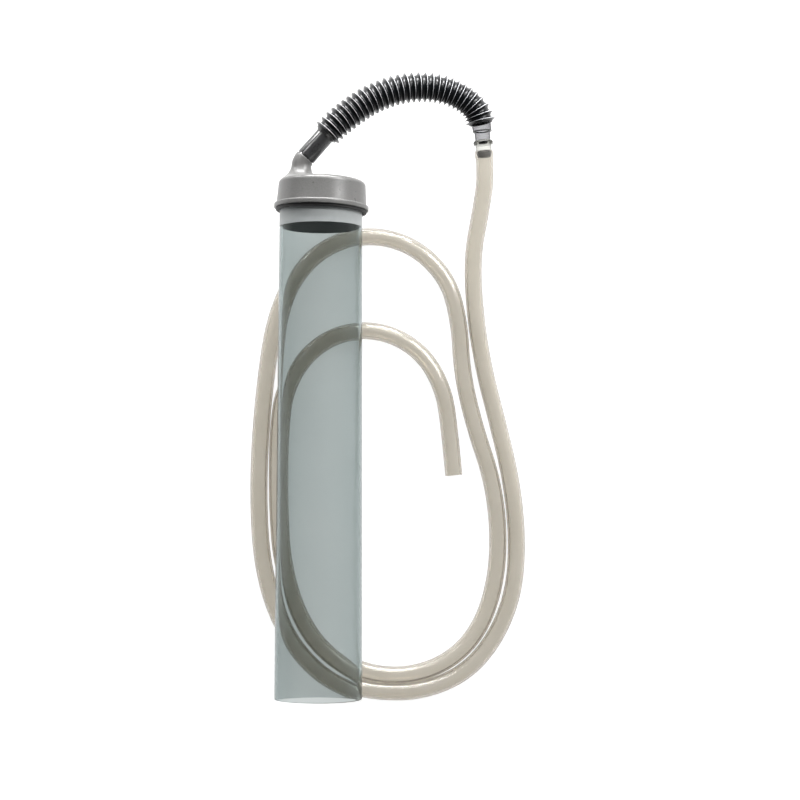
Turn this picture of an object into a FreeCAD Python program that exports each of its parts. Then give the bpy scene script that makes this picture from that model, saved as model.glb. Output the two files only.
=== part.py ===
import FreeCAD, Part
import Sketcher
import math
import os
from FreeCAD import Placement, Rotation, Vector

# Gravel vacuum siphon for ponds and aquariums, laid down on its coiled outlet hose.
# Frame: origin at the centre of the intake mouth on the tube's axis, +Y along the tube
# towards the cap, +Z up. Millimetres.

doc = FreeCAD.newDocument("gravel_vacuum_siphon")

# ---------------------------------------------------------------- driving dimensions
DIMENSIONS = {
    # clear intake tube, slightly tapered
    "tube_length": 370.0,
    "mouth_radius": 31.7,
    "tube_end_radius": 30.15,
    "tube_wall": 1.8,
    "land_radius": 29.9,
    "land_length": 12.0,
    "mouth_rounding": 0.5,
    # cap that closes the tube
    "cap_start": 355.0,
    "cap_height": 21.6,
    "cap_skirt_radius": 32.3,
    "cap_crown_radius": 31.5,
    "cap_edge_rounding": 4.0,
    "flange_radius": 34.35,
    "flange_height": 3.3,
    "socket_radius": 30.6,
    "socket_depth": 15.4,
    "chamber_radius": 27.0,
    "chamber_height": 3.2,
    # black seal ring under the flange
    "seal_inner_radius": 30.6,
    "seal_outer_radius": 33.2,
    "seal_recess": 2.0,
    "seal_stand_out": 2.0,
    # curved neck, off centre on the cap
    "neck_offset": 14.7,
    "neck_radius": 7.3,
    "neck_bore_radius": 5.7,
    "neck_straight_end": 385.6,
    "neck_bend_radius": 11.4,
    "neck_bend_angle": 41.0,
    "neck_flare": 10.6,
    "spigot_radius": 5.2,
    "spigot_bore_radius": 4.0,
    "spigot_length": 14.0,
    # gravel guard, a slotted disc on a collar
    "guard_radius": 27.6,
    "guard_thickness": 2.0,
    "guard_start": 362.0,
    "guard_collar_radius": 26.7,
    "guard_collar_wall": 1.4,
    "guard_collar_top": 373.0,
    "slot_width": 3.4,
    # priming check valve in the root of the neck
    "seat_flange_radius": 8.0,
    "seat_flange_height": 1.0,
    "seat_top": 375.6,
    "seat_bore_radius": 3.2,
    "ball_radius": 4.2,
    "ball_centre": 378.6,
    "cage_start": 385.1,
    "cage_height": 1.2,
    "cage_bar_width": 1.4,
    # hoses and the fitting between them
    "cuff_root_radius": 7.3,
    "cuff_radius": 6.7,
    "cuff_bore_radius": 5.3,
    "bellows_radius": 10.2,
    "fitting_spigot_radius": 5.2,
    "fitting_bore_radius": 3.5,
    "fitting_neck_radius": 5.75,
    "collar_radius": 7.3,
    "collar_length": 3.4,
    "tail_radius": 4.7,
    "tail_length": 11.0,
    "barb_radius": 5.5,
    "barb_setback": 4.2,
    "barb_length": 4.6,
    "hose_radius": 6.35,
    "hose_bore_radius": 4.75,
    "hose_swell_radius": 7.0,
}

sizes = doc.addObject("Spreadsheet::Sheet", "sizes")
for row, (alias, value) in enumerate(DIMENSIONS.items(), start=1):
    sizes.set("A%d" % row, alias)
    sizes.set("B%d" % row, str(value))
    sizes.setAlias("B%d" % row, alias)
doc.recompute()


def size(alias):
    return float(sizes.get(alias))


# ---------------------------------------------------------------- routes of the two hoses
# Hand-laid points; the hose runs straight between them and bends round each one.

FLOOR_HOSE = -38.4      # height of the clear hose's centre line where it lies on the floor

CORRUGATED_ROUTE = [
    (-1.6, 404.95, 0), (7.8, 415.7, 0), (18.4, 425, -1.5), (34.8, 438, -7), (56.7, 448, -15.5),
    (78.6, 451.6, -23.5), (96.2, 449.2, -29.5), (111.2, 441.6, -33.4), (118.6, 431.4, -34.45),
    (119.58, 420.2, -34.45),
]

CLEAR_START = [(120.49, 409.8, -34.45), (122.45, 387.4, -34.45), (118.4, 360, -36.6)]

CLEAR_FLAT = [
    # outer turn: down the right side, round the mouth end and back up the left side
    (112, 326), (114, 284), (120.5, 242), (131.5, 200), (141.5, 158), (145.5, 116), (142.5, 76),
    (130, 42), (108, 16), (76, 1.6), (41, 0.4), (8, 9), (-18, 32.5), (-34.5, 61.5), (-44, 98),
    (-47, 142), (-46, 190), (-42, 236), (-36, 277),
    # over the top and round again, inside the first turn
    (-22.5, 310), (2, 334), (35.5, 343), (69, 334), (94, 309), (102.5, 276), (104.5, 238),
    (114, 198), (125.5, 160), (131, 122), (129.5, 84), (118.5, 50), (97, 25.5), (65, 13.9),
    (31, 16.5), (2, 33), (-17.5, 60.5), (-29.5, 98),
    # last half turn, to the free end
    (-32, 134), (-33, 165), (-32.5, 195), (-29, 225), (-12.5, 253), (15, 270), (47, 270),
    (75, 254), (91, 226), (95.5, 194), (98.5, 162),
]

CLEAR_ROUTE = CLEAR_START + [(x, y, FLOOR_HOSE) for x, y in CLEAR_FLAT]

ARC_SHARE = 0.45        # part of the shorter run that each bend takes up


def hose_edges(points, name):
    """Straight runs joined by tangent arcs, one arc at each inner point."""
    corners = [Vector(*p) for p in points]
    edges = []
    start = corners[0]
    radii = []
    for before, corner, after in zip(corners, corners[1:], corners[2:]):
        into = (corner - before).normalize()
        out = (after - corner).normalize()
        shorter = min((corner - before).Length, (after - corner).Length)
        reach = ARC_SHARE * shorter
        turn = into.getAngle(out)
        radius = reach / math.tan(turn / 2)
        radii.append(radius)
        arc_start = corner - into * reach
        arc_end = corner + out * reach
        inward = (out - into).normalize()
        sagitta_point = corner + inward * (radius / math.cos(turn / 2) - radius)
        edges.append(Part.LineSegment(start, arc_start).toShape())
        edges.append(Part.Arc(arc_start, sagitta_point, arc_end).toShape())
        start = arc_end
    edges.append(Part.LineSegment(start, corners[-1]).toShape())
    print(name, "bend radii mm:", " ".join("%.0f" % r for r in radii))
    return edges


def swept(edges, radius):
    """Round rod of the given radius along a chain of edges."""
    path = Part.Wire(edges)
    first = edges[0]
    profile = Part.Wire(Part.makeCircle(
        radius, first.valueAt(first.FirstParameter), first.tangentAt(first.FirstParameter)))
    return path.makePipeShell([profile], True, False)


def rod(start, direction, length, radius, end_radius=None):
    """Cylinder, or a cone when an end radius is given, from start along direction."""
    if end_radius is None or abs(end_radius - radius) < 1e-6:
        return Part.makeCylinder(radius, length, start, direction)
    return Part.makeCone(radius, end_radius, length, start, direction)


# ---------------------------------------------------------------- document helpers


def origin_plane(body, role):
    return next(f for f in body.Origin.OriginFeatures if f.Role == role)


def closed_outline(sketch, corners):
    """Polygon whose corners are pairs of sheet formulas, each bound to the sheet."""
    values = [(sketch.evalExpression(x), sketch.evalExpression(y)) for x, y in corners]
    points = [Vector(float(x), float(y), 0) for x, y in values]
    count = len(points)
    for i, point in enumerate(points):
        sketch.addGeometry(Part.LineSegment(point, points[(i + 1) % count]), False)
    for i in range(count):
        sketch.addConstraint(Sketcher.Constraint("Coincident", i, 2, (i + 1) % count, 1))
    for i, (formula_x, formula_y) in enumerate(corners):
        for kind, formula, value in (("DistanceX", formula_x, points[i].x),
                                     ("DistanceY", formula_y, points[i].y)):
            index = sketch.addConstraint(Sketcher.Constraint(kind, -1, 1, i, 1, value))
            sketch.setExpression("Constraints[%d]" % index, formula)


def turned_body(name, corners):
    """Body turned about the tube's axis from an outline of (radius, place on the axis)."""
    body = doc.addObject("PartDesign::Body", name)
    sketch = body.newObject("Sketcher::SketchObject", name + "_outline")
    sketch.AttachmentSupport = [(origin_plane(body, "XY_Plane"), "")]
    sketch.MapMode = "FlatFace"
    closed_outline(sketch, corners)
    doc.recompute()
    turn = body.newObject("PartDesign::Revolution", name + "_turn")
    turn.Profile = sketch
    turn.ReferenceAxis = (sketch, ["V_Axis"])
    turn.Angle = 360
    sketch.Visibility = False
    body.Tip = turn
    doc.recompute()
    return body


def round_edges(body, name, formula, chosen):
    """Fillet the body's circular edges that the test picks."""
    base = body.Tip
    names = ["Edge%d" % (i + 1) for i, edge in enumerate(base.Shape.Edges)
             if isinstance(edge.Curve, Part.Circle) and chosen(edge.Curve)]
    fillet = body.newObject("PartDesign::Fillet", name)
    fillet.Base = (base, names)
    fillet.setExpression("Radius", formula)
    body.Tip = fillet
    doc.recompute()


ALONG_TUBE = Rotation(Vector(0, 0, 1), Vector(0, 1, 0))


def axis_cylinder(name, radius, height, start, offset="0"):
    """Cylinder along +Y; every argument is a sheet formula."""
    piece = doc.addObject("Part::Cylinder", name)
    piece.Placement = Placement(Vector(), ALONG_TUBE)
    piece.setExpression("Radius", radius)
    piece.setExpression("Height", height)
    piece.setExpression("Placement.Base.x", offset)
    piece.setExpression("Placement.Base.y", start)
    return piece


def combine(kind, name, base, tools):
    """Part::Cut of base by tools, or Part::MultiFuse of them all."""
    if kind == "Part::Cut":
        if len(tools) > 1:
            tool = combine("Part::MultiFuse", name + "_tools", tools[0], tools[1:])
        else:
            tool = tools[0]
        result = doc.addObject("Part::Cut", name)
        result.Base = base
        result.Tool = tool
    else:
        result = doc.addObject("Part::MultiFuse", name)
        result.Shapes = [base] + tools
        result.Refine = True
    doc.recompute()
    return result


def shape_node(name, shape):
    piece = doc.addObject("Part::Feature", name)
    piece.Shape = shape
    return piece


nodes = []

# ---------------------------------------------------------------- intake tube
intake_tube = turned_body("intake_tube", [
    ("sizes.land_radius", "0"),
    ("sizes.mouth_radius", "0"),
    ("sizes.tube_end_radius", "sizes.tube_length"),
    ("sizes.tube_end_radius - sizes.tube_wall", "sizes.tube_length"),
    ("sizes.land_radius - 0.04 * sizes.tube_wall", "sizes.land_length + 1"),
    ("sizes.land_radius", "sizes.land_length"),
])
round_edges(intake_tube, "mouth_edge", "sizes.mouth_rounding",
            lambda c: abs(c.Center.y) < 0.01 and c.Radius > size("mouth_radius") - 0.1)
nodes.append(intake_tube)

# ---------------------------------------------------------------- cap with its curved neck
CAP_TOP = "sizes.cap_start + sizes.cap_height"
CHAMBER_TOP = "sizes.cap_start + sizes.socket_depth + sizes.chamber_height"

cap_cup = turned_body("cap_cup", [
    ("0", CAP_TOP),
    ("sizes.cap_crown_radius", CAP_TOP),
    ("sizes.cap_skirt_radius", "sizes.cap_start + sizes.flange_height"),
    ("sizes.flange_radius", "sizes.cap_start + sizes.flange_height"),
    ("sizes.flange_radius", "sizes.cap_start"),
    ("sizes.seal_outer_radius", "sizes.cap_start"),
    ("sizes.seal_outer_radius", "sizes.cap_start + sizes.seal_recess"),
    ("sizes.socket_radius", "sizes.cap_start + sizes.seal_recess"),
    ("sizes.socket_radius", "sizes.cap_start + sizes.socket_depth"),
    ("sizes.chamber_radius", "sizes.cap_start + sizes.socket_depth"),
    ("sizes.chamber_radius", CHAMBER_TOP),
    ("0", CHAMBER_TOP),
])
cap_top_y = size("cap_start") + size("cap_height")
flange_top_y = size("cap_start") + size("flange_height")
round_edges(cap_cup, "crown_edge", "sizes.cap_edge_rounding",
            lambda c: abs(c.Center.y - cap_top_y) < 0.01)
round_edges(cap_cup, "flange_edge", "sizes.flange_height * 0.3",
            lambda c: abs(c.Center.y - flange_top_y) < 0.01
            and abs(c.Radius - size("flange_radius")) < 0.01)
round_edges(cap_cup, "flange_root", "sizes.flange_height * 0.3",
            lambda c: abs(c.Center.y - flange_top_y) < 0.01
            and abs(c.Radius - size("cap_skirt_radius")) < 0.01)

# the flare: a round boss with a concave ring taken out of its side
flare_boss = axis_cylinder("flare_boss", "sizes.neck_radius - 0.3 + sizes.neck_flare",
                           "sizes.neck_flare", CAP_TOP, "-sizes.neck_offset")
flare_ring = doc.addObject("Part::Torus", "flare_ring")
flare_ring.Placement = Placement(Vector(), ALONG_TUBE)
flare_ring.setExpression("Radius1", "sizes.neck_radius - 0.3 + sizes.neck_flare")
flare_ring.setExpression("Radius2", "sizes.neck_flare")
flare_ring.setExpression("Placement.Base.x", "-sizes.neck_offset")
flare_ring.setExpression("Placement.Base.y", CAP_TOP + " + sizes.neck_flare")
flare_whole = combine("Part::Cut", "flare_whole", flare_boss, [flare_ring])
crown_column = axis_cylinder("crown_column", "sizes.cap_crown_radius - 2.2",
                             "sizes.neck_flare * 2", CAP_TOP + " - sizes.neck_flare / 2")
flare = doc.addObject("Part::Common", "flare")
flare.Base = flare_whole
flare.Tool = crown_column

neck_straight = axis_cylinder("neck_straight", "sizes.neck_radius",
                              "sizes.neck_straight_end - (" + CAP_TOP + ") + 1",
                              CAP_TOP + " - 1", "-sizes.neck_offset")

# the bend lies flat; its centre is on the +X side of the neck
BEND_POSE = Rotation(Vector(0, 0, 1), 180 - DIMENSIONS["neck_bend_angle"])


def neck_bend(name, tube_radius):
    bend = doc.addObject("Part::Torus", name)
    bend.Placement = Placement(Vector(), BEND_POSE)
    bend.setExpression("Radius1", "sizes.neck_bend_radius")
    bend.setExpression("Radius2", tube_radius)
    bend.setExpression("Angle3", "sizes.neck_bend_angle")
    bend.setExpression("Placement.Base.x", "sizes.neck_bend_radius - sizes.neck_offset")
    bend.setExpression("Placement.Base.y", "sizes.neck_straight_end")
    return bend


bend_angle = math.radians(size("neck_bend_angle"))
cuff_direction = Vector(math.sin(bend_angle), math.cos(bend_angle), 0)
neck_end = Vector(
    size("neck_bend_radius") * (1 - math.cos(bend_angle)) - size("neck_offset"),
    size("neck_straight_end") + size("neck_bend_radius") * math.sin(bend_angle), 0)


def neck_rod(name, radius, back, reach):
    """Cylinder along the neck's end, from a little behind its face."""
    piece = doc.addObject("Part::Cylinder", name)
    piece.setExpression("Radius", radius)
    piece.setExpression("Height", reach + " + " + str(back))
    piece.Placement = Placement(neck_end - cuff_direction * back,
                                Rotation(Vector(0, 0, 1), cuff_direction))
    return piece


cap_solid = combine("Part::MultiFuse", "cap_solid", cap_cup, [
    flare, neck_straight, neck_bend("neck_bend_outside", "sizes.neck_radius"),
    neck_rod("neck_spigot", "sizes.spigot_radius", 1.0, "sizes.spigot_length"),
])
cap = combine("Part::Cut", "cap", cap_solid, [
    axis_cylinder("valve_chamber", "sizes.neck_bore_radius",
                  "sizes.neck_straight_end - (" + CHAMBER_TOP + ") + 1.7",
                  CHAMBER_TOP + " - 1", "-sizes.neck_offset"),
    neck_bend("neck_bend_bore", "sizes.spigot_bore_radius"),
    neck_rod("spigot_bore", "sizes.spigot_bore_radius", 0.0, "sizes.spigot_length + 1"),
])
nodes.append(cap)

# ---------------------------------------------------------------- seal ring under the flange
seal_ring = turned_body("seal_ring", [
    ("sizes.seal_inner_radius", "sizes.cap_start - sizes.seal_stand_out"),
    ("sizes.seal_outer_radius", "sizes.cap_start - sizes.seal_stand_out"),
    ("sizes.seal_outer_radius", "sizes.cap_start + sizes.seal_recess"),
    ("sizes.seal_inner_radius", "sizes.cap_start + sizes.seal_recess"),
])
seal_low_y = size("cap_start") - size("seal_stand_out")
round_edges(seal_ring, "seal_lip", "sizes.seal_stand_out * 0.35",
            lambda c: abs(c.Center.y - seal_low_y) < 0.01)
nodes.append(seal_ring)

# ---------------------------------------------------------------- gravel guard
GUARD_BACK = "sizes.guard_start + sizes.guard_thickness"
guard_blank = turned_body("guard_blank", [
    ("0", "sizes.guard_start"),
    ("sizes.guard_radius", "sizes.guard_start"),
    ("sizes.guard_radius", GUARD_BACK),
    ("sizes.guard_collar_radius", GUARD_BACK),
    ("sizes.guard_collar_radius", "sizes.guard_collar_top"),
    ("sizes.guard_collar_radius - sizes.guard_collar_wall", "sizes.guard_collar_top"),
    ("sizes.guard_collar_radius - sizes.guard_collar_wall", GUARD_BACK),
    ("0", GUARD_BACK),
])

SLOT_RINGS = [(8.0, 3, 84.0), (14.5, 4, 68.0), (21.0, 6, 46.0)]   # mid radius, count, sweep


def curved_slot(mid_radius, centre_angle, sweep):
    """Arc-shaped slot with round ends, cut along the tube's axis."""
    width = size("slot_width")
    start_y = size("guard_start") - 1
    depth = size("guard_thickness") + 2
    ring = Part.makeCylinder(mid_radius + width / 2, depth, Vector(0, start_y, 0),
                             Vector(0, 1, 0), sweep)
    ring = ring.cut(Part.makeCylinder(mid_radius - width / 2, depth,
                                      Vector(0, start_y, 0), Vector(0, 1, 0)))
    first_face = min((f for f in ring.Faces if isinstance(f.Surface, Part.Plane)
                      and abs(f.normalAt(0, 0).y) < 0.5),
                     key=lambda f: math.atan2(f.CenterOfMass.x, f.CenterOfMass.z))
    lead = math.degrees(math.atan2(first_face.CenterOfMass.x, first_face.CenterOfMass.z))
    for end_angle in (lead, lead + sweep):
        spot = Vector(mid_radius * math.sin(math.radians(end_angle)), start_y,
                      mid_radius * math.cos(math.radians(end_angle)))
        ring = ring.fuse(Part.makeCylinder(width / 2, depth, spot, Vector(0, 1, 0)))
    ring.rotate(Vector(), Vector(0, 1, 0), centre_angle - lead - sweep / 2)
    return ring


slots = [curved_slot(mid, 360.0 * k / count, sweep)
         for mid, count, sweep in SLOT_RINGS for k in range(count)]
guard_slots = shape_node("guard_slots", Part.makeCompound(slots))
gravel_guard = combine("Part::Cut", "gravel_guard", guard_blank, [guard_slots])
nodes.append(gravel_guard)

# ---------------------------------------------------------------- priming check valve
SEAT_LOW = CHAMBER_TOP + " - sizes.seat_flange_height"
seat_flange = axis_cylinder("seat_flange", "sizes.seat_flange_radius",
                            "sizes.seat_flange_height", SEAT_LOW, "-sizes.neck_offset")
seat_tube = axis_cylinder("seat_tube", "sizes.neck_bore_radius",
                          "sizes.seat_top - (" + SEAT_LOW + ")", SEAT_LOW,
                          "-sizes.neck_offset")
seat_solid = combine("Part::MultiFuse", "seat_solid", seat_flange, [seat_tube])
seat_bore = axis_cylinder("seat_bore", "sizes.seat_bore_radius", "10",
                          SEAT_LOW + " - 2", "-sizes.neck_offset")
valve_seat = combine("Part::Cut", "valve_seat", seat_solid, [seat_bore])
nodes.append(valve_seat)

valve_ball = doc.addObject("Part::Sphere", "valve_ball")
valve_ball.setExpression("Radius", "sizes.ball_radius")
valve_ball.setExpression("Placement.Base.x", "-sizes.neck_offset")
valve_ball.setExpression("Placement.Base.y", "sizes.ball_centre")
nodes.append(valve_ball)

# the cage is a ring with a cross of two bars that stops the ball
cage_ring = axis_cylinder("cage_ring", "sizes.neck_bore_radius", "sizes.cage_height",
                          "sizes.cage_start", "-sizes.neck_offset")
cage_hole = axis_cylinder("cage_hole", "sizes.neck_bore_radius - 1",
                          "sizes.cage_height + 2", "sizes.cage_start - 1",
                          "-sizes.neck_offset")
cage_rim = combine("Part::Cut", "cage_rim", cage_ring, [cage_hole])
cage_bars = []
for name, along_x in (("cage_bar_flat", True), ("cage_bar_upright", False)):
    bar = doc.addObject("Part::Box", name)
    long_side = "2 * sizes.neck_bore_radius - 1"
    bar.setExpression("Length", long_side if along_x else "sizes.cage_bar_width")
    bar.setExpression("Height", "sizes.cage_bar_width" if along_x else long_side)
    bar.setExpression("Width", "sizes.cage_height")
    half_long = "(sizes.neck_bore_radius - 0.5)"
    half_bar = "sizes.cage_bar_width / 2"
    bar.setExpression("Placement.Base.x",
                      "-sizes.neck_offset - " + (half_long if along_x else half_bar))
    bar.setExpression("Placement.Base.z", "-" + (half_bar if along_x else half_long))
    bar.setExpression("Placement.Base.y", "sizes.cage_start")
    cage_bars.append(bar)
valve_cage = combine("Part::MultiFuse", "valve_cage", cage_rim, cage_bars)
nodes.append(valve_cage)

# ---------------------------------------------------------------- corrugated hose and cuffs
corrugated_edges = hose_edges(CORRUGATED_ROUTE, "corrugated hose")
route_start = Vector(*CORRUGATED_ROUTE[0])
route_end = Vector(*CORRUGATED_ROUTE[-1])
fitting_direction = (route_end - Vector(*CORRUGATED_ROUTE[-2])).normalize()
cuff_length = (route_start - neck_end).Length

cuff_skin = rod(neck_end, cuff_direction, cuff_length, size("cuff_root_radius"),
                size("cuff_radius") + 0.2)
core_skin = swept(corrugated_edges, size("cuff_radius"))
bellows_skin = swept(corrugated_edges[1:-1], size("bellows_radius"))
outer_skin = cuff_skin.fuse([core_skin, bellows_skin])
inner_bore = rod(neck_end - cuff_direction, cuff_direction, cuff_length + 1,
                 size("cuff_bore_radius"))
inner_bore = inner_bore.fuse(swept(corrugated_edges, size("cuff_bore_radius")))
corrugated_hose = shape_node("corrugated_hose", outer_skin.cut(inner_bore).removeSplitter())
nodes.append(corrugated_hose)

# ---------------------------------------------------------------- stepped fitting
SPIGOT_IN_CUFF = 5.6
hose_start = Vector(*CLEAR_ROUTE[0])
collar_end = (hose_start - route_end).Length
neck_length = collar_end - size("collar_length")
fitting_profile = [
    # distance from the cuff's end, length, start radius, end radius
    (-SPIGOT_IN_CUFF, SPIGOT_IN_CUFF, size("fitting_spigot_radius"), None),
    (0, neck_length, size("fitting_neck_radius"), None),
    (neck_length, size("collar_length"), size("collar_radius"), None),
    (collar_end, size("tail_length"), size("tail_radius"), None),
    (collar_end + size("barb_setback"), size("barb_length"), size("barb_radius"),
     size("tail_radius")),
]
fitting_parts = [rod(route_end + fitting_direction * at, fitting_direction, length, r0, r1)
                 for at, length, r0, r1 in fitting_profile]
fitting_solid = fitting_parts[0].fuse(fitting_parts[1:])
fitting_bore = rod(route_end - fitting_direction * (SPIGOT_IN_CUFF + 1), fitting_direction,
                   60, size("fitting_bore_radius"))
hose_connector = shape_node("hose_connector", fitting_solid.cut(fitting_bore).removeSplitter())
nodes.append(hose_connector)

# ---------------------------------------------------------------- clear outlet hose
clear_edges = hose_edges(CLEAR_ROUTE, "clear hose")
hose_direction = (Vector(*CLEAR_ROUTE[1]) - hose_start).normalize()
path_length = sum(edge.Length for edge in clear_edges)
section = math.pi * (size("hose_radius") ** 2 - size("hose_bore_radius") ** 2)
whole_wall = swept(clear_edges, size("hose_radius")).cut(
    swept(clear_edges, size("hose_bore_radius")))
print("clear hose length %.1f mm, volume %.0f mm3, section times length %.0f mm3"
      % (path_length, whole_wall.Volume, section * path_length))

# the straight first stretch is pushed over the barb, which swells it: distance, length, radii
stem_length = clear_edges[0].Length
STEM_PROFILE = [
    (0, stem_length, size("hose_radius"), None),
    (2.6, 1.6, size("hose_radius"), size("hose_swell_radius")),
    (4.2, 1.8, size("hose_swell_radius"), None),
    (6.0, 3.0, size("hose_swell_radius"), size("hose_radius")),
]
stem_parts = [rod(hose_start + hose_direction * at, hose_direction, length, r0, r1)
              for at, length, r0, r1 in STEM_PROFILE]
stem_bore = rod(hose_start - hose_direction, hose_direction, stem_length + 2,
                size("hose_bore_radius"))
stem = stem_parts[0].fuse(stem_parts[1:]).removeSplitter().cut(stem_bore).cut(fitting_solid)
laid_edges = clear_edges[1:]
laid_wall = swept(laid_edges, size("hose_radius")).cut(
    swept(laid_edges, size("hose_bore_radius")))
clear_hose = shape_node("clear_hose", stem.fuse(laid_wall))
nodes.append(clear_hose)

# ---------------------------------------------------------------- checks and export
doc.recompute()
for item in doc.Objects:
    if any(word in item.State for word in ("Invalid", "Error")):
        raise RuntimeError(item.Name + " failed to build")
for node in nodes:
    if node.Shape.isNull() or not node.Shape.isValid() or not node.Shape.Solids:
        raise RuntimeError(node.Label + " has no valid solid")

os.makedirs("parts", exist_ok=True)
for node in nodes:
    node.Shape.exportStep("parts/%s.step" % node.Label)
    print("%-16s solids %d volume %.0f mm3" % (node.Label, len(node.Shape.Solids),
                                             node.Shape.Volume))
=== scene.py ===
import math

import bpy
import numpy as np
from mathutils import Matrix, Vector


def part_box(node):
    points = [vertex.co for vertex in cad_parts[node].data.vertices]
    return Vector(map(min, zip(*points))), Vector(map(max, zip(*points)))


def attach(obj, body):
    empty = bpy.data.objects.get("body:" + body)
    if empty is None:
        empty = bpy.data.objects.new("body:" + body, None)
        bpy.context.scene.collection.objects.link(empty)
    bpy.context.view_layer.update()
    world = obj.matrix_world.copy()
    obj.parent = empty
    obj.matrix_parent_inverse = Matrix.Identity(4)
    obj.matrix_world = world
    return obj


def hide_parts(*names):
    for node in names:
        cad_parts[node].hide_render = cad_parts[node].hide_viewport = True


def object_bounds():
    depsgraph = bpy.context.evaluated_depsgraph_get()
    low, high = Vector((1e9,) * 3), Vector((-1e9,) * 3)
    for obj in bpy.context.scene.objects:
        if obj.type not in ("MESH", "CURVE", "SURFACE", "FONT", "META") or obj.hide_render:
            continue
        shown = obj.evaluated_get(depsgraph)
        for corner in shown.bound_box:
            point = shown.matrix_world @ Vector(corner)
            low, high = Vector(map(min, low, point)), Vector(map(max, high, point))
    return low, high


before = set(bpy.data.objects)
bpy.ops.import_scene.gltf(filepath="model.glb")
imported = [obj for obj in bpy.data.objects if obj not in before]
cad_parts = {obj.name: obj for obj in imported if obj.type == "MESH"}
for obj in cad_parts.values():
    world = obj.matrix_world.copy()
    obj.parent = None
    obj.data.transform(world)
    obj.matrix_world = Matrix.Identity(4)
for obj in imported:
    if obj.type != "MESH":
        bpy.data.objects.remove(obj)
cad_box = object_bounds()

# Gravel vacuum siphon, laid down on its coiled outlet hose and seen from above.
# Metres, in the CAD model's frame: the origin is the centre of the intake mouth, +Y runs
# along the tube to the cap and +Z is up.

MM = 0.001
ROOT = "cap_and_hoses"
floor_height = cad_box[0][2]
scene = bpy.context.scene

# ------------------------------------------------------------------ camera
camera_data = bpy.data.cameras.new("camera")
camera_data.lens = 85.5
camera_data.sensor_width = 36.0
camera_data.clip_start = 0.05
camera_data.clip_end = 20.0
camera = bpy.data.objects.new("camera", camera_data)
camera.location = (0.0585, 0.1365, 1.378)
camera.rotation_euler = (math.radians(3.3), 0.0, math.radians(0.19))
scene.collection.objects.link(camera)
scene.camera = camera

# ------------------------------------------------------------------ the hoses' routes
# Points in millimetres, scaled when used. They keep close to the CAD hoses' routes;
# the corrugated hose drops less before it hands over to the clear one.

CORRUGATED_ROUTE = [
    (-1.6, 404.95, 0), (7.8, 415.7, 0), (18.4, 425.2, -2.4), (34.8, 438, -6.8),
    (56.7, 447.5, -11.8), (78.5, 449.9, -15.4), (95.9, 446.5, -18), (110.3, 438.3, -20.2),
    (117.4, 428.6, -21.4), (118.7, 417.7, -22),
]

FLOOR_HOSE = -38.2                    # height of the hose's centre line where it lies flat
CLEAR_START = [(119.6, 407.5, -22.4), (121.9, 385.5, -23.6), (118, 358.6, -28),
               (111.8, 325.4, -34), (114, 283.9, -37.6)]
CLEAR_FLAT = [
    # outer turn: down the right side, round the mouth end and back up the left side
    (120.5, 242), (131.5, 200), (141.5, 158), (145.9, 116), (143.4, 75.6),
    (130, 42), (108, 16), (76, 2.3), (40.6, 1.6), (8.2, 9.9), (-17.5, 32.8), (-34.3, 61.6),
    (-44, 98), (-47, 142), (-46, 190), (-42, 236), (-36, 277),
    # over the top and round again, inside the first turn
    (-22.5, 310), (2, 334), (35.5, 343), (69, 334), (94, 309), (102.5, 276), (104.5, 238),
    (114, 198), (126.9, 160), (132, 122), (130, 84), (119, 49.6), (97.3, 25), (65, 12.9),
    (30.5, 16), (1.6, 33.1), (-17.6, 60.5), (-29.4, 98),
    # last half turn, to the free end
    (-32.4, 134), (-33, 165), (-32.5, 195), (-29, 225), (-12.5, 253), (15, 270), (47, 270),
    (75, 254), (91, 226), (95.5, 194), (98.5, 162),
]
CLEAR_ROUTE = CLEAR_START + [(x, y, FLOOR_HOSE) for x, y in CLEAR_FLAT]


def route_line(name, points_mm, steps=24):
    """Points along the route's NURBS spline, as an array in metres."""
    curve = bpy.data.curves.new(name, "CURVE")
    curve.dimensions = "3D"
    curve.resolution_u = steps
    spline = curve.splines.new("NURBS")
    spline.points.add(len(points_mm) - 1)
    for point, (x, y, z) in zip(spline.points, points_mm):
        point.co = (x * MM, y * MM, z * MM, 1.0)
    spline.order_u = 3
    spline.use_endpoint_u = True
    carrier = bpy.data.objects.new(name, curve)
    scene.collection.objects.link(carrier)
    bpy.context.view_layer.update()
    mesh = bpy.data.meshes.new_from_object(carrier)
    line = np.array([v.co[:] for v in mesh.vertices])
    bpy.data.meshes.remove(mesh)
    bpy.data.objects.remove(carrier)
    bpy.data.curves.remove(curve)
    return line


# ------------------------------------------------------------------ mesh tools
class Path:
    """A line of points with a frame at any distance along it, carried without twist."""

    def __init__(self, points, up=(0.0, 0.0, 1.0)):
        self.points = np.asarray(points, float)
        steps = np.linalg.norm(np.diff(self.points, axis=0), axis=1)
        self.at = np.concatenate([[0.0], np.cumsum(steps)])
        self.length = self.at[-1]
        tangents = np.gradient(self.points, self.at, axis=0)
        self.tangents = tangents / np.linalg.norm(tangents, axis=1, keepdims=True)
        side = np.cross(self.tangents[0], up)
        sides = []
        for tangent in self.tangents:
            side = side - tangent * np.dot(side, tangent)
            side = side / np.linalg.norm(side)
            sides.append(side)
        self.sides = np.array(sides)

    def _blend(self, rows, s):
        return np.array([np.interp(s, self.at, rows[:, k]) for k in range(3)])

    def frame(self, s):
        """Centre and two cross directions at distance s, past either end in a straight line."""
        tangent = self._blend(self.tangents, s)
        tangent /= np.linalg.norm(tangent)
        side = self._blend(self.sides, s)
        side -= tangent * np.dot(side, tangent)
        side /= np.linalg.norm(side)
        on_line = min(max(s, 0.0), self.length)
        centre = self._blend(self.points, on_line) + tangent * (s - on_line)
        return centre, side, np.cross(tangent, side)


def straight_path(start, end):
    ends = np.array([start, end], float)
    return Path([ends[0], ends.mean(axis=0), ends[1]])


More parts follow.
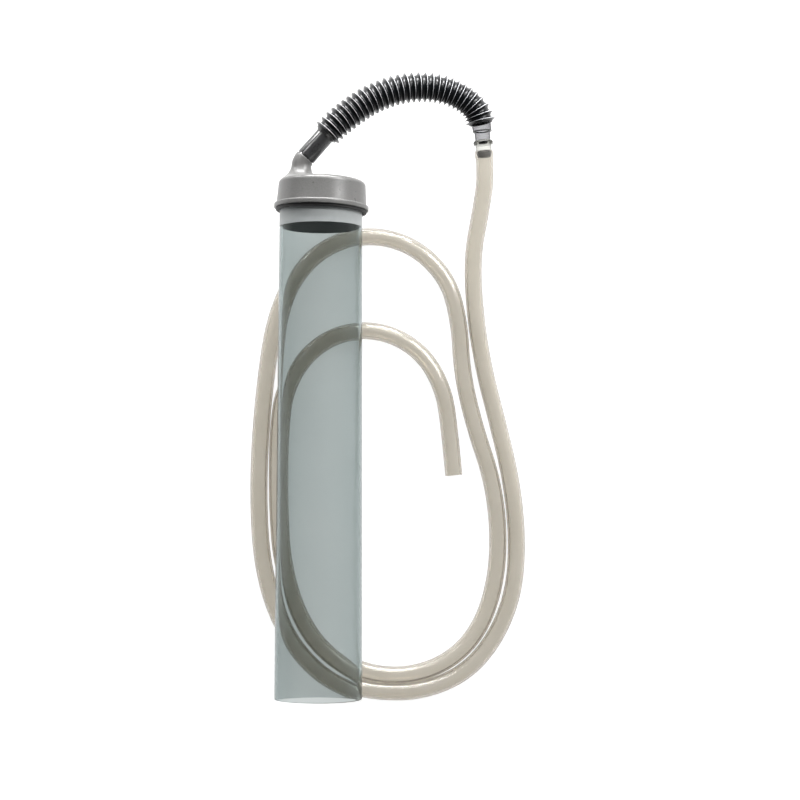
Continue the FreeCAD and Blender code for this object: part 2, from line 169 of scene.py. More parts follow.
def circle_ring(centre, side, over, radius, around):
    angles = np.linspace(0.0, 2 * math.pi, around, endpoint=False)
    return centre + radius * (np.outer(np.cos(angles), side) + np.outer(np.sin(angles), over))


def skinned(name, rings, sharp_degrees=35.0):
    """Mesh over a row of rings of points, with the last ring joined to the first."""
    around = len(rings[0])
    count = len(rings)
    faces = []
    for i in range(count):
        a, b = i * around, ((i + 1) % count) * around
        for k in range(around):
            n = (k + 1) % around
            faces.append((a + k, a + n, b + n, b + k))
    mesh = bpy.data.meshes.new(name)
    mesh.from_pydata(np.concatenate(rings).tolist(), [], faces)
    mesh.validate()
    mesh.shade_smooth()
    mesh.set_sharp_from_angle(angle=math.radians(sharp_degrees))
    piece = bpy.data.objects.new(name, mesh)
    scene.collection.objects.link(piece)
    return piece


def lofted(name, path, loop, around=48, sharp_degrees=35.0):
    """Round skin along a path from a closed loop of (distance along, radius)."""
    rings = [circle_ring(*path.frame(s), radius, around) for s, radius in loop]
    return skinned(name, rings, sharp_degrees=sharp_degrees)


def rounded(corners, steps=4):
    """Outline with round corners, from (x, y, rounding radius) rows of a closed polygon."""
    result = []
    count = len(corners)
    for i, (x, y, radius) in enumerate(corners):
        here = np.array([x, y])
        if radius <= 0:
            result.append(tuple(here))
            continue
        before = np.array(corners[i - 1][:2]) - here
        after = np.array(corners[(i + 1) % count][:2]) - here
        before_length = np.linalg.norm(before)
        after_length = np.linalg.norm(after)
        before /= before_length
        after /= after_length
        half = math.acos(np.clip(np.dot(before, after), -1, 1)) / 2
        reach = min(radius / math.tan(half), before_length * 0.49, after_length * 0.49)
        start, end = here + before * reach, here + after * reach
        for k in range(steps + 1):
            t = k / steps
            result.append(tuple((1 - t) ** 2 * start + 2 * t * (1 - t) * here + t * t * end))
    return result


# ------------------------------------------------------------------ materials
# The clear plastics refract less than real ones do: at a real index a thin wall seen edge on
# gathers light from the lit floor and looks bright where it should look dark.
class Shader:
    """A new material with its nodes at hand."""

    def __init__(self, name):
        self.material = bpy.data.materials.new(name)
        self.material.use_nodes = True
        self.tree = self.material.node_tree
        self.skin = self.tree.nodes["Principled BSDF"]
        self.output = self.tree.nodes["Material Output"]
        self.place = self.tree.nodes.new("ShaderNodeTexCoord").outputs["Object"]

    def set(self, **values):
        for key, value in values.items():
            self.skin.inputs[key.replace("_", " ")].default_value = value
        return self

    def noise(self, scale, detail=3.0, roughness=0.55):
        node = self.tree.nodes.new("ShaderNodeTexNoise")
        node.inputs["Scale"].default_value = scale
        node.inputs["Detail"].default_value = detail
        node.inputs["Roughness"].default_value = roughness
        self.tree.links.new(self.place, node.inputs["Vector"])
        return node.outputs["Fac"]

    def attribute(self, name):
        node = self.tree.nodes.new("ShaderNodeAttribute")
        node.attribute_name = name
        return node.outputs["Fac"]

    def spread(self, value, low, high, from_low=0.3, from_high=0.7):
        node = self.tree.nodes.new("ShaderNodeMapRange")
        node.inputs["From Min"].default_value = from_low
        node.inputs["From Max"].default_value = from_high
        node.inputs["To Min"].default_value = low
        node.inputs["To Max"].default_value = high
        self.tree.links.new(value, node.inputs["Value"])
        return node.outputs["Result"]

    def ramp(self, value, *stops):
        node = self.tree.nodes.new("ShaderNodeValToRGB")
        ramp = node.color_ramp
        while len(ramp.elements) < len(stops):
            ramp.elements.new(0.5)
        for element, (place, colour) in zip(ramp.elements, stops):
            element.position = place
            element.color = (*colour, 1.0)
        self.tree.links.new(value, node.inputs["Fac"])
        return node.outputs["Color"]

    def mix(self, share, first, second):
        node = self.tree.nodes.new("ShaderNodeMix")
        node.data_type = "RGBA"           # its colour sockets are 6 and 7 in, 2 out
        self.tree.links.new(share, node.inputs["Factor"])
        self.tree.links.new(first, node.inputs[6])
        self.tree.links.new(second, node.inputs[7])
        return node.outputs[2]

    def bump(self, height, distance, strength=1.0):
        node = self.tree.nodes.new("ShaderNodeBump")
        node.inputs["Strength"].default_value = strength
        node.inputs["Distance"].default_value = distance
        self.tree.links.new(height, node.inputs["Height"])
        self.tree.links.new(node.outputs["Normal"], self.skin.inputs["Normal"])

    def link(self, value, socket):
        self.tree.links.new(value, self.skin.inputs[socket])

    def absorb(self, colour, density):
        node = self.tree.nodes.new("ShaderNodeVolumeAbsorption")
        node.inputs["Color"].default_value = (*colour, 1.0)
        node.inputs["Density"].default_value = density
        self.tree.links.new(node.outputs["Volume"], self.output.inputs["Volume"])


def clear_tube_material():
    """Smoke-grey rigid plastic, darker where it is looked through edge on."""
    shader = Shader("clear_tube")
    shader.set(IOR=1.2, Transmission_Weight=1.0, Specular_IOR_Level=0.3)
    shader.link(shader.ramp(shader.noise(14.0), (0.35, (0.79, 0.80, 0.795)),
                            (0.65, (0.81, 0.815, 0.81))), "Base Color")
    shader.link(shader.spread(shader.noise(60.0), 0.02, 0.06), "Roughness")
    shader.absorb((0.54, 0.61, 0.61), 350.0)
    return shader.material


def frosted_tube_material():
    """The clear tube's frosted end, which lets little light through."""
    shader = Shader("frosted_tube")
    shader.set(IOR=1.3, Transmission_Weight=0.2)
    shader.link(shader.ramp(shader.noise(120.0), (0.35, (0.33, 0.35, 0.35)),
                            (0.65, (0.36, 0.38, 0.38))), "Base Color")
    shader.link(shader.spread(shader.noise(160.0), 0.3, 0.4), "Roughness")
    return shader.material


def clear_vinyl_material():
    """Soft milky vinyl, faintly brown, with a slightly uneven surface."""
    shader = Shader("clear_vinyl")
    shader.set(IOR=1.32, Transmission_Weight=0.95, Coat_Weight=0.7, Coat_Roughness=0.12,
               Coat_IOR=1.5)
    shader.link(shader.ramp(shader.noise(22.0), (0.35, (0.885, 0.868, 0.822)),
                            (0.65, (0.905, 0.89, 0.85))), "Base Color")
    shader.link(shader.spread(shader.noise(90.0), 0.15, 0.22), "Roughness")
    shader.bump(shader.noise(45.0), 0.0004, 0.2)
    shader.absorb((0.55, 0.50, 0.42), 230.0)
    return shader.material


def cap_plastic_material():
    """Dark grey moulded plastic with a fine sparked grain."""
    shader = Shader("cap_plastic")
    grain = shader.noise(1400.0, 4.0)
    shader.link(shader.ramp(grain, (0.35, (0.082, 0.081, 0.079)), (0.65, (0.108, 0.107, 0.104))),
                "Base Color")
    shader.link(shader.spread(shader.noise(300.0), 0.27, 0.37), "Roughness")
    shader.bump(grain, 0.00012, 0.35)
    return shader.material


def corrugated_plastic_material():
    """Black blow-moulded plastic with a pale highlight painted on its thin crests and a broader
    grey sheen painted on the crests of the outer side of the bend.
    """
    shader = Shader("corrugated_plastic")
    shader.set(Specular_IOR_Level=0.4)
    crest = shader.attribute("crest")
    # black, with a pale grey highlight painted on the crest tips
    crest_painted_highlight = shader.ramp(crest, (0.0, (0.003, 0.004, 0.005)), (0.83, (0.005, 0.006, 0.007)),
                        (0.96, (0.60, 0.60, 0.62)))
    # a broader grey sheen painted on the crests on the outer side of the bend
    stretched = shader.ramp(crest, (0.45, (0.005, 0.006, 0.007)), (0.85, (0.20, 0.20, 0.205)))
    shader.link(shader.mix(shader.attribute("outer_painted_sheen"), crest_painted_highlight, stretched), "Base Color")
    shader.link(shader.spread(shader.noise(250.0), 0.15, 0.27), "Roughness")
    return shader.material


def cuff_plastic_material():
    """Black plastic with a soft polish."""
    shader = Shader("cuff_plastic")
    shader.set(Specular_IOR_Level=0.8)
    shader.link(shader.ramp(shader.noise(120.0), (0.35, (0.020, 0.020, 0.021)),
                            (0.65, (0.030, 0.030, 0.031))), "Base Color")
    shader.link(shader.spread(shader.noise(200.0), 0.10, 0.18), "Roughness")
    return shader.material


def smoky_plastic_material():
    """Grey see-through plastic of the stepped fitting's body and barb and the hose's end cuff."""
    shader = Shader("connector_smoky")
    shader.set(IOR=1.12, Transmission_Weight=1.0)
    shader.link(shader.ramp(shader.noise(150.0), (0.35, (0.88, 0.88, 0.89)),
                            (0.65, (0.92, 0.92, 0.93))), "Base Color")
    shader.link(shader.spread(shader.noise(180.0), 0.08, 0.14), "Roughness")
    shader.absorb((0.3, 0.3, 0.31), 760.0)
    return shader.material


def clear_fitting_material():
    """Nearly clear plastic of the fitting's collar and tail."""
    shader = Shader("connector_clear")
    shader.set(IOR=1.12, Transmission_Weight=1.0)
    shader.link(shader.ramp(shader.noise(150.0), (0.35, (0.92, 0.92, 0.90)),
                            (0.65, (0.96, 0.96, 0.94))), "Base Color")
    shader.link(shader.spread(shader.noise(180.0), 0.05, 0.10), "Roughness")
    shader.absorb((0.5, 0.5, 0.48), 520.0)
    return shader.material


def dark_fitting_material():
    """Charcoal plastic of the fitting's seam and rim, and of the ring inside the collar that
    paints the shade seen down the bore.
    """
    shader = Shader("connector_dark")
    shader.link(shader.ramp(shader.noise(200.0), (0.35, (0.030, 0.033, 0.030)),
                            (0.65, (0.045, 0.048, 0.044))), "Base Color")
    shader.link(shader.spread(shader.noise(180.0), 0.18, 0.28), "Roughness")
    return shader.material


def moulded_material(name, colour, roughness):
    """Plain moulded plastic or rubber with slight mottling."""
    shader = Shader(name)
    darker = tuple(c * 0.85 for c in colour)
    shader.link(shader.ramp(shader.noise(350.0), (0.35, darker), (0.65, colour)), "Base Color")
    shader.link(shader.spread(shader.noise(400.0), roughness - 0.08, roughness + 0.08),
                "Roughness")
    return shader.material


clear_tube = clear_tube_material()
frosted_tube = frosted_tube_material()
clear_vinyl = clear_vinyl_material()
cap_plastic = cap_plastic_material()
corrugated_plastic = corrugated_plastic_material()
cuff_plastic = cuff_plastic_material()
smoky_plastic = smoky_plastic_material()
clear_fitting = clear_fitting_material()
dark_fitting = dark_fitting_material()
seal_rubber = moulded_material("seal_rubber", (0.010, 0.010, 0.010), 0.6)
guard_plastic = moulded_material("guard_plastic", (0.42, 0.43, 0.43), 0.42)
valve_plastic = moulded_material("valve_plastic", (0.72, 0.72, 0.70), 0.32)


def dress(node, material):
    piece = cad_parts[node]
    piece.data.materials.clear()
    piece.data.materials.append(material)


def finish_piece(piece, material, body, slot, *nodes):
    piece.data.materials.append(material)
    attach(piece, body)
    if nodes:
        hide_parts(*nodes)


dress("gravel_guard", guard_plastic)
dress("valve_seat", valve_plastic)
dress("valve_ball", valve_plastic)
dress("valve_cage", valve_plastic)

# ------------------------------------------------------------------ clear intake tube
tube_low, tube_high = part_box("intake_tube")
tube_path = straight_path((0, tube_low[1], 0), (0, tube_high[1], 0))
mouth_radius = tube_high[0]
TUBE_END_RADIUS = 30.15 * MM
TUBE_WALL = 1.8 * MM
tube_length = tube_path.length
FROST_START = 342.0 * MM              # the end that goes into the cap is frosted from here
frost_radius = mouth_radius + (TUBE_END_RADIUS - mouth_radius) * FROST_START / tube_length
intake_tube = lofted("intake_tube_clear", tube_path, rounded([
    (0.0, mouth_radius, 0.6 * MM),
    (FROST_START, frost_radius, 0.0),
    (FROST_START, frost_radius - TUBE_WALL, 0.0),
    (0.0, mouth_radius - TUBE_WALL, 0.6 * MM),
]), around=160)
finish_piece(intake_tube, clear_tube, "intake", "clear_tube", "intake_tube")
frosted_end = lofted("intake_tube_end", tube_path, rounded([
    (FROST_START, frost_radius, 0.0),
    (tube_length, TUBE_END_RADIUS, 0.5 * MM),
    (tube_length, TUBE_END_RADIUS - TUBE_WALL, 0.5 * MM),
    (FROST_START, frost_radius - TUBE_WALL, 0.0),
]), around=160)
finish_piece(frosted_end, frosted_tube, "intake", "clear_tube", "intake_tube")

# ------------------------------------------------------------------ cap
# One skin: round the outside from the neck's end to the flange and back up the inside.
cap_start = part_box("cap")[0][1]
CAP_AROUND = 160
CAP_HEIGHT = 21.6 * MM
CROWN_RADIUS = 31.9 * MM
CROWN_ROUNDING = 4.0 * MM
SKIRT_RADIUS = 32.9 * MM
FLANGE_RADIUS = 34.6 * MM
FLANGE_HEIGHT = 3.3 * MM
BLACK_RING_OUTER_RADIUS = 33.2 * MM
BLACK_RING_INNER_RADIUS = 30.6 * MM
BLACK_RING_RECESS = 2.0 * MM
SOCKET_DEPTH = 15.4 * MM
CHAMBER_RADIUS = 27.2 * MM
CHAMBER_TOP = 18.6 * MM
CAP_LEAN = math.radians(1.9)          # the cap sits a little crooked on the tube
CAP_PIVOT = 10.0 * MM                 # height on the cap about which it leans
CAP_SHIFT = 0.6 * MM

NECK_X = -14.7 * MM
NECK_RADIUS = 7.3 * MM
NECK_ROOT_RADIUS = 7.45 * MM
NECK_BORE = 5.7 * MM
NECK_BEND_START = 385.6 * MM
NECK_BEND_RADIUS = 11.4 * MM
NECK_BEND = math.radians(41.0)
SPIGOT_RADIUS = 5.2 * MM
SPIGOT_BORE = 4.0 * MM
SPIGOT_LENGTH = 14.0 * MM
FLARE_RADIUS = 10.4 * MM
FLARE_LEAN = 1.1 * MM                 # how much larger the flare is on the cap's near side
FLARE_FADE = 5.5 * MM                 # distance from the crown's rim over which it dies out


def cap_ring(centre_x, radius, height, lean=CAP_LEAN, shift=CAP_SHIFT):
    """Ring round the cap's axis; height is one value or a function of x and z."""
    angles = np.linspace(0.0, 2 * math.pi, CAP_AROUND, endpoint=False)
    x = centre_x + radius * np.cos(angles)
    z = -radius * np.sin(angles)
    if callable(height):
        height = height(x, z)
    above = height - CAP_PIVOT
    return np.stack([
        shift + x * math.cos(lean) + above * math.sin(lean),
        cap_start + CAP_PIVOT - x * math.sin(lean) + above * math.cos(lean),
        z,
    ], axis=1)


def inside_ring(centre_x, radius, height):
    """Ring of the socket and chamber, which stay true to the tube."""
    return cap_ring(centre_x, radius, height, lean=0.0, shift=0.0)


neck_local_x = NECK_X - CAP_SHIFT - (CAP_HEIGHT - CAP_PIVOT) * math.sin(CAP_LEAN)


def crown_height(x, z):
    """Height of the crown's surface with its rounded rim and the flare round the neck."""
    from_neck = np.hypot(x - neck_local_x, z)
    flare = FLARE_RADIUS + FLARE_LEAN * (neck_local_x - x) / from_neck
    reach = np.clip(NECK_RADIUS + flare - from_neck, 0.0, flare * 0.999)
    rise = flare - np.sqrt(flare ** 2 - reach ** 2)
    from_axis = np.hypot(x, z)
    fade = np.clip((CROWN_RADIUS - from_axis) / FLARE_FADE, 0.0, 1.0)
    over_rim = np.clip(from_axis - (CROWN_RADIUS - CROWN_ROUNDING), 0.0, CROWN_ROUNDING)
    drop = CROWN_ROUNDING - np.sqrt(CROWN_ROUNDING ** 2 - over_rim ** 2)
    return CAP_HEIGHT + rise * fade * fade * (3 - 2 * fade) - drop


def neck_line():
    """Up from the chamber's ceiling, round the bend and straight on along the spigot."""
    centre_x = NECK_X + NECK_BEND_RADIUS
    points = [(NECK_X, cap_start + CHAMBER_TOP, 0.0)]
    for angle in np.linspace(0.0, NECK_BEND, 17):
        points.append((centre_x - NECK_BEND_RADIUS * math.cos(angle),
                       NECK_BEND_START + NECK_BEND_RADIUS * math.sin(angle), 0.0))
    end = Vector(points[-1])
    onward = Vector((math.sin(NECK_BEND), math.cos(NECK_BEND), 0.0))
    points.append(tuple(end + onward * SPIGOT_LENGTH))
    return points


neck_path = Path(neck_line())
bend_from = NECK_BEND_START - cap_start - CHAMBER_TOP
neck_face_at = neck_path.length - SPIGOT_LENGTH


def neck_rings(loop):
    return [circle_ring(*neck_path.frame(s), radius, CAP_AROUND) for s, radius in loop]


def crown_rings():
    """From the neck's root outward, each ring round the one before, to the crown's rim."""
    rings = []
    inner_rim = CROWN_RADIUS - CROWN_ROUNDING
    for t in np.linspace(0.0, 1.0, 30) ** 1.8:
        rings.append(cap_ring(neck_local_x * (1 - t),
                              NECK_ROOT_RADIUS * (1 - t) + inner_rim * t, crown_height))
    for angle in np.linspace(0.0, math.pi / 2, 10)[1:-1]:
        rings.append(cap_ring(0.0, inner_rim + CROWN_ROUNDING * math.sin(angle), crown_height))
    return rings


neck_outside = [(s, NECK_RADIUS)
                for s in np.linspace(bend_from + 2.5 * MM, neck_face_at - 0.5 * MM, 16)]
neck_tip = [
    (neck_face_at - 0.15 * MM, NECK_RADIUS - 0.12 * MM),
    (neck_face_at, NECK_RADIUS - 0.5 * MM),
    (neck_face_at, SPIGOT_RADIUS),
    (neck_path.length, SPIGOT_RADIUS),
    (neck_path.length, SPIGOT_BORE),
]
neck_inside = [(s, SPIGOT_BORE) for s in np.linspace(bend_from, neck_face_at, 12)]
skirt_outline = rounded([
    (CROWN_RADIUS, CAP_HEIGHT - CROWN_ROUNDING, 0.0),
    (SKIRT_RADIUS, FLANGE_HEIGHT, 1.1 * MM),
    (FLANGE_RADIUS, FLANGE_HEIGHT, 0.9 * MM),
    (FLANGE_RADIUS, 0.0, 0.5 * MM),
    (BLACK_RING_OUTER_RADIUS, 0.0, 0.2 * MM),
    (BLACK_RING_OUTER_RADIUS, BLACK_RING_RECESS, 0.0),
    (BLACK_RING_INNER_RADIUS + 0.9 * MM, BLACK_RING_RECESS, 0.0),
    (BLACK_RING_INNER_RADIUS + 0.9 * MM, SOCKET_DEPTH / 2, 0.0),
], steps=5)
socket_outline = [
    (BLACK_RING_INNER_RADIUS, SOCKET_DEPTH / 2 + 1.5 * MM),
    (BLACK_RING_INNER_RADIUS, SOCKET_DEPTH),
    (CHAMBER_RADIUS, SOCKET_DEPTH),
    (CHAMBER_RADIUS, CHAMBER_TOP),
]
ceiling = [inside_ring(NECK_X * t, CHAMBER_RADIUS * (1 - t) + NECK_BORE * t, CHAMBER_TOP)
           for t in np.linspace(0.1, 0.9, 5)]
cap_skin = neck_rings(neck_inside) + neck_rings((neck_outside + neck_tip)[::-1])
cap_skin += crown_rings() + [cap_ring(0.0, radius, height) for radius, height in skirt_outline]
cap_skin += [inside_ring(0.0, radius, height) for radius, height in socket_outline]
cap_skin += ceiling + neck_rings([(0.0, NECK_BORE), (bend_from, NECK_BORE)])
cap_shell = skinned("cap_shell", cap_skin[::-1], sharp_degrees=40.0)
finish_piece(cap_shell, cap_plastic, ROOT, "cap_plastic", "cap")

# ------------------------------------------------------------------ black ring under the cap's rim
# a black ring sits under the cap's rim, between the skirt and the tube, and shows as the black
# band there
black_ring_outline = rounded([
    (BLACK_RING_INNER_RADIUS + 0.05 * MM, BLACK_RING_RECESS - 0.05 * MM, 0.3 * MM),
    (BLACK_RING_OUTER_RADIUS - 0.05 * MM, BLACK_RING_RECESS - 0.05 * MM, 0.3 * MM),
    (BLACK_RING_OUTER_RADIUS - 0.05 * MM, -2.0 * MM, 0.9 * MM),
    (BLACK_RING_INNER_RADIUS + 0.05 * MM, -2.0 * MM, 0.6 * MM),
])
black_ring = skinned("black_ring_under_cap",
               [cap_ring(0.0, radius, height) for radius, height in black_ring_outline[::-1]])
finish_piece(black_ring, seal_rubber, ROOT, "seal_rubber", "seal_ring")

# ------------------------------------------------------------------ corrugated hose
corrugated_line = route_line("corrugated_route", CORRUGATED_ROUTE)
corrugated_path = Path(corrugated_line)
RINGS = 31
FIRST_CREST = 9.7 * MM
LAST_CREST = corrugated_path.length - 7.6 * MM
CROWDING = 1.1 * MM               # how far rings are pushed towards the nearer end
SLIDE = 2.1 * MM                  # how far the middle rings are pushed towards the clear hose
CREST_RADIUS = 11.3 * MM
GROOVE_RADIUS = 8.7 * MM
BELLOWS_WALL = 0.6 * MM


def ring_place(ring):
    """Distance along the hose of a place counted in rings; a crest is at each half."""
    u = (ring - 0.5) / (RINGS - 1)
    return (FIRST_CREST + (LAST_CREST - FIRST_CREST) * u
            - CROWDING * math.sin(2 * math.pi * u) + SLIDE * math.sin(math.pi * u))


BELLOWS_START = ring_place(0)
BELLOWS_END = ring_place(RINGS)
# one ring: share of the pitch and share of the depth, a thin crest between wide grooves
RING_SHAPE = [(0.0, 0.0), (0.12, 0.03), (0.24, 0.20), (0.36, 0.56), (0.43, 0.82),
              (0.47, 0.96), (0.5, 1.0), (0.53, 0.96), (0.57, 0.82), (0.64, 0.56),
              (0.76, 0.20), (0.88, 0.03)]
bellows_outer = []
for ring in range(RINGS):
    for share, depth in RING_SHAPE:
        bellows_outer.append((ring_place(ring + share),
                              GROOVE_RADIUS + (CREST_RADIUS - GROOVE_RADIUS) * depth))
bellows_outer.append((BELLOWS_END, GROOVE_RADIUS))
bellows_loop = bellows_outer + [(s, r - BELLOWS_WALL) for s, r in bellows_outer[::-1]]
BELLOWS_AROUND = 72
bellows = lofted("corrugated_bellows", corrugated_path, bellows_loop, around=BELLOWS_AROUND,
                 sharp_degrees=70.0)
# how far up a crest each point is, a little more on the outer side of the bend; the colour paints
# a highlight on the crest tips from it and a broader grey sheen on the outer side
crest_depth = np.array([r - GROOVE_RADIUS for _, r in bellows_loop]) / (
    CREST_RADIUS - GROOVE_RADIUS)
inward = np.cos(np.linspace(0.0, 2 * math.pi, BELLOWS_AROUND, endpoint=False))
crest_values = crest_depth[:, None] * (1.0 - 0.09 * np.clip(inward + 0.3, 0.0, 1.0))
# the outer side of the bend, where the broader grey sheen is painted
outer_painted_sheen_values = np.broadcast_to(np.clip(-2.5 * inward - 1.4, 0.0, 1.0), crest_values.shape)
for label, values in (("crest", crest_values), ("outer_painted_sheen", outer_painted_sheen_values)):
    attribute = bellows.data.attributes.new(label, "FLOAT", "POINT")
    attribute.data.foreach_set("value", values.ravel())
finish_piece(bellows, corrugated_plastic, ROOT, "corrugated_plastic", "corrugated_hose")

# ------------------------------------------------------------------ cuffs
route_start = Vector(corrugated_line[0])
start_direction = (Vector(CORRUGATED_ROUTE[1]) - Vector(CORRUGATED_ROUTE[0])).normalized()
neck_face = Vector(neck_path.frame(neck_face_at)[0])
CUFF_GAP = 1.1 * MM               # dark groove between the neck and the cuff
cuff_length = (route_start - neck_face).length + BELLOWS_START + 0.8 * MM
neck_cuff_path = straight_path(neck_face, neck_face + start_direction * cuff_length)
neck_cuff_outline = rounded([
    (0.05 * MM, 6.5 * MM, 0.0),
    (CUFF_GAP, 6.5 * MM, 0.0),
    (CUFF_GAP, 7.2 * MM, 0.5 * MM),
    (cuff_length * 0.9, 6.95 * MM, 1.6 * MM),
    (cuff_length, 8.9 * MM, 0.0),
    (cuff_length, 5.3 * MM, 0.3 * MM),
    (0.05 * MM, 5.3 * MM, 0.3 * MM),
])
neck_cuff = lofted("hose_cuff_neck", neck_cuff_path, neck_cuff_outline, around=72)
finish_piece(neck_cuff, cuff_plastic, ROOT, "corrugated_plastic")

route_end = Vector(corrugated_line[-1])
end_direction = (Vector(CORRUGATED_ROUTE[-1]) - Vector(CORRUGATED_ROUTE[-2])).normalized()
END_CUFF = corrugated_path.length - BELLOWS_END + 0.6 * MM
end_cuff_path = straight_path(route_end - end_direction * END_CUFF, route_end)
end_cuff_outline = rounded([
    (-0.4 * MM, 7.2 * MM, 0.0),
    (END_CUFF - 0.5 * MM, 7.0 * MM, 0.5 * MM),
    (END_CUFF - 0.5 * MM, 6.2 * MM, 0.0),
    (-0.4 * MM, 6.3 * MM, 0.0),
])
end_cuff = lofted("hose_cuff_end", end_cuff_path, end_cuff_outline, around=72)
finish_piece(end_cuff, smoky_plastic, ROOT, "corrugated_plastic")

# ------------------------------------------------------------------ stepped connector
clear_line = route_line("clear_route", CLEAR_ROUTE)
clear_path = Path(clear_line)
collar_end = (Vector(clear_line[0]) - route_end).length
BARE_TAIL = 4.4 * MM              # length of the tail that the hose doesn't cover
connector_path = straight_path(route_end, Vector(clear_line[0]))


def connector_piece(name, corners, material):
    outline = rounded([(s * MM + collar_end, r * MM, rounding * MM) for s, r, rounding in corners])
    piece = lofted(name, connector_path, outline, around=72)
    finish_piece(piece, material, ROOT, "connector_plastic", "hose_connector")
    return piece


# distances in millimetres past the collar's far face
COLLAR_BACK = -3.5
BODY_BACK = -collar_end / MM
TAIL_END = BARE_TAIL / MM
connector_body = connector_piece("hose_connector_body", [
    (BODY_BACK - 0.3, 5.9, 0.2),
    (COLLAR_BACK, 5.7, 0.0),
    (COLLAR_BACK, 4.9, 0.0),
    (BODY_BACK - 0.3, 5.1, 0.2),
], smoky_plastic)
connector_collar = connector_piece("hose_connector_collar", [
    (COLLAR_BACK + 0.02, 5.4, 0.0),
    (COLLAR_BACK + 0.5, 6.6, 0.4),
    (COLLAR_BACK + 1.1, 7.3, 0.5),
    (-0.1, 7.2, 0.6),
    (0.0, 5.9, 0.0),
    (0.0, 4.9, 0.0),
    (COLLAR_BACK + 0.02, 4.9, 0.0),
], clear_fitting)
connector_seam = connector_piece("hose_connector_seam", [
    (BODY_BACK - 0.4, 7.25, 0.2),
    (BODY_BACK + 0.5, 7.2, 0.2),
    (BODY_BACK + 0.5, 5.95, 0.0),
    (BODY_BACK - 0.4, 5.95, 0.0),
], dark_fitting)
# a charcoal ring inside the collar paints the dark shade seen down the fitting's bore
connector_bore_shade = connector_piece("hose_connector_bore_shade", [
    (COLLAR_BACK + 1.0, 3.3, 0.2),
    (-0.9, 3.3, 0.2),
    (-0.9, 1.4, 0.2),
    (COLLAR_BACK + 1.0, 1.4, 0.2),
], dark_fitting)
connector_tail = connector_piece("hose_connector_tail", [
    (0.02, 5.9, 0.0),
    (TAIL_END, 5.8, 0.3),
    (TAIL_END, 5.2, 0.0),
    (0.02, 5.2, 0.0),
], clear_fitting)
connector_barb = connector_piece("hose_connector_barb", [
    (TAIL_END + 0.02, 4.4, 0.0),
    (TAIL_END + 0.6, 5.0, 0.2),
    (TAIL_END + 0.9, 5.9, 0.4),
    (TAIL_END + 4.4, 5.0, 0.4),
    (TAIL_END + 4.4, 3.2, 0.0),
    (TAIL_END + 0.02, 3.2, 0.0),
], smoky_plastic)
connector_rim = connector_piece("hose_connector_rim", [
    (TAIL_END + 4.42, 4.9, 0.2),
    (TAIL_END + 5.2, 4.8, 0.3),
    (TAIL_END + 5.2, 3.2, 0.2),
    (TAIL_END + 4.42, 3.2, 0.0),
], dark_fitting)

# ------------------------------------------------------------------ clear hose
HOSE_RADIUS = 6.5 * MM
HOSE_BORE = 4.75 * MM
SWELL = 0.6 * MM
BORE_SWELL = 1.25 * MM
SWELL_MIDDLE = BARE_TAIL + 1.8 * MM
SWELL_REACH = 4.2 * MM
STATION = 1.6 * MM                # distance between the hose's rings of points


def hose_outer(s):
    """Outside radius: the hose swells over the barb."""
    return HOSE_RADIUS + SWELL * math.exp(-((s - SWELL_MIDDLE) / SWELL_REACH) ** 4)


def hose_inner(s):
    """Bore radius, stretched over the barb."""
    return HOSE_BORE + BORE_SWELL * math.exp(-((s - SWELL_MIDDLE) / SWELL_REACH) ** 4)


hose_span = clear_path.length - BARE_TAIL
stations = np.linspace(BARE_TAIL, clear_path.length, int(hose_span / STATION))
hose_loop = [(s, hose_outer(s)) for s in stations]
hose_loop += [(s, hose_inner(s)) for s in stations[::-1]]
clear_hose = lofted("clear_hose_tube", clear_path, hose_loop, around=36)
finish_piece(clear_hose, clear_vinyl, ROOT, "clear_vinyl", "clear_hose")

# ------------------------------------------------------------------ floor and light
scene.view_settings.view_transform = "Standard"

floor_shader = Shader("floor")
floor_shader.set(Roughness=0.8, Specular_IOR_Level=0.1, Emission_Color=(1.0, 1.0, 1.0, 1.0),
                 Emission_Strength=0.95)
floor_shader.link(floor_shader.ramp(floor_shader.noise(8.0), (0.3, (0.28, 0.28, 0.28)),
                                    (0.7, (0.30, 0.30, 0.30))), "Base Color")
FLOOR_HALF = 3.0
floor_mesh = bpy.data.meshes.new("floor")
floor_mesh.from_pydata([(-FLOOR_HALF, -FLOOR_HALF, floor_height),
                        (FLOOR_HALF, -FLOOR_HALF, floor_height),
                        (FLOOR_HALF, FLOOR_HALF, floor_height),
                        (-FLOOR_HALF, FLOOR_HALF, floor_height)], [], [(0, 1, 2, 3)])
floor = bpy.data.objects.new("floor", floor_mesh)
floor_mesh.materials.append(floor_shader.material)
scene.collection.objects.link(floor)


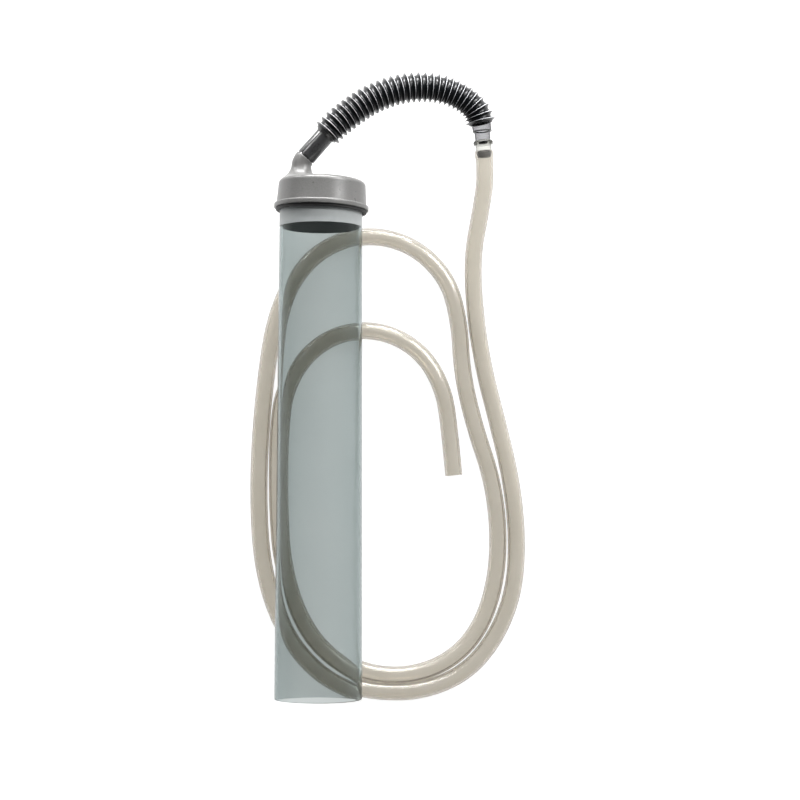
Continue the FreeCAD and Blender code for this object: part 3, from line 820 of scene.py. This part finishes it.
def studio_world():
    """Pale walls low down, brighter at the far side and the right, and a dim ceiling."""
    world = bpy.data.worlds.new("studio")
    world.use_nodes = True
    tree = world.node_tree
    direction = tree.nodes.new("ShaderNodeTexCoord").outputs["Generated"]
    split = tree.nodes.new("ShaderNodeSeparateXYZ")
    tree.links.new(direction, split.inputs["Vector"])
    ramp = tree.nodes.new("ShaderNodeValToRGB")
    stops = [(0.0, 0.95), (0.3, 0.9), (0.6, 0.4), (1.0, 0.15)]
    while len(ramp.color_ramp.elements) < len(stops):
        ramp.color_ramp.elements.new(0.5)
    for element, (height, level) in zip(ramp.color_ramp.elements, stops):
        element.position = height
        element.color = (level, level, level, 1.0)
    tree.links.new(split.outputs["Z"], ramp.inputs["Fac"])
    lean = tree.nodes.new("ShaderNodeVectorMath")
    lean.operation = "DOT_PRODUCT"
    lean.inputs[1].default_value = (0.34, 0.12, 0.0)
    tree.links.new(direction, lean.inputs[0])
    level = tree.nodes.new("ShaderNodeMath")
    level.operation = "ADD"
    level.inputs[1].default_value = 0.62
    tree.links.new(lean.outputs["Value"], level.inputs[0])
    tree.links.new(ramp.outputs["Color"], tree.nodes["Background"].inputs["Color"])
    tree.links.new(level.outputs["Value"], tree.nodes["Background"].inputs["Strength"])
    return world


scene.world = studio_world()


def softbox(name, place, target, width, height, brightness):
    """Rectangular lamp whose face has the given brightness."""
    light = bpy.data.lights.new(name, "AREA")
    light.shape = "RECTANGLE"
    light.size = width
    light.size_y = height
    light.energy = brightness * math.pi * width * height
    lamp = bpy.data.objects.new(name, light)
    lamp.location = place
    aim = Vector(target) - Vector(place)
    lamp.rotation_euler = aim.to_track_quat("-Z", "Y").to_euler()
    lamp.visible_camera = False
    scene.collection.objects.link(lamp)


cap_middle = (0.0, 0.36, 0.0)
softbox("strip_far", (0.05, 1.2, 0.95), (0.05, 0.2, 0.0), 2.4, 0.07, 24.0)
softbox("wall_far", (0.0, 1.35, 0.3), cap_middle, 1.0, 0.4, 27.0)
softbox("key_right", (1.0, 1.15, 0.8), cap_middle, 0.7, 0.7, 12.0)
softbox("low_left", (-1.0, 1.5, 0.2), cap_middle, 0.12, 0.4, 38.0)
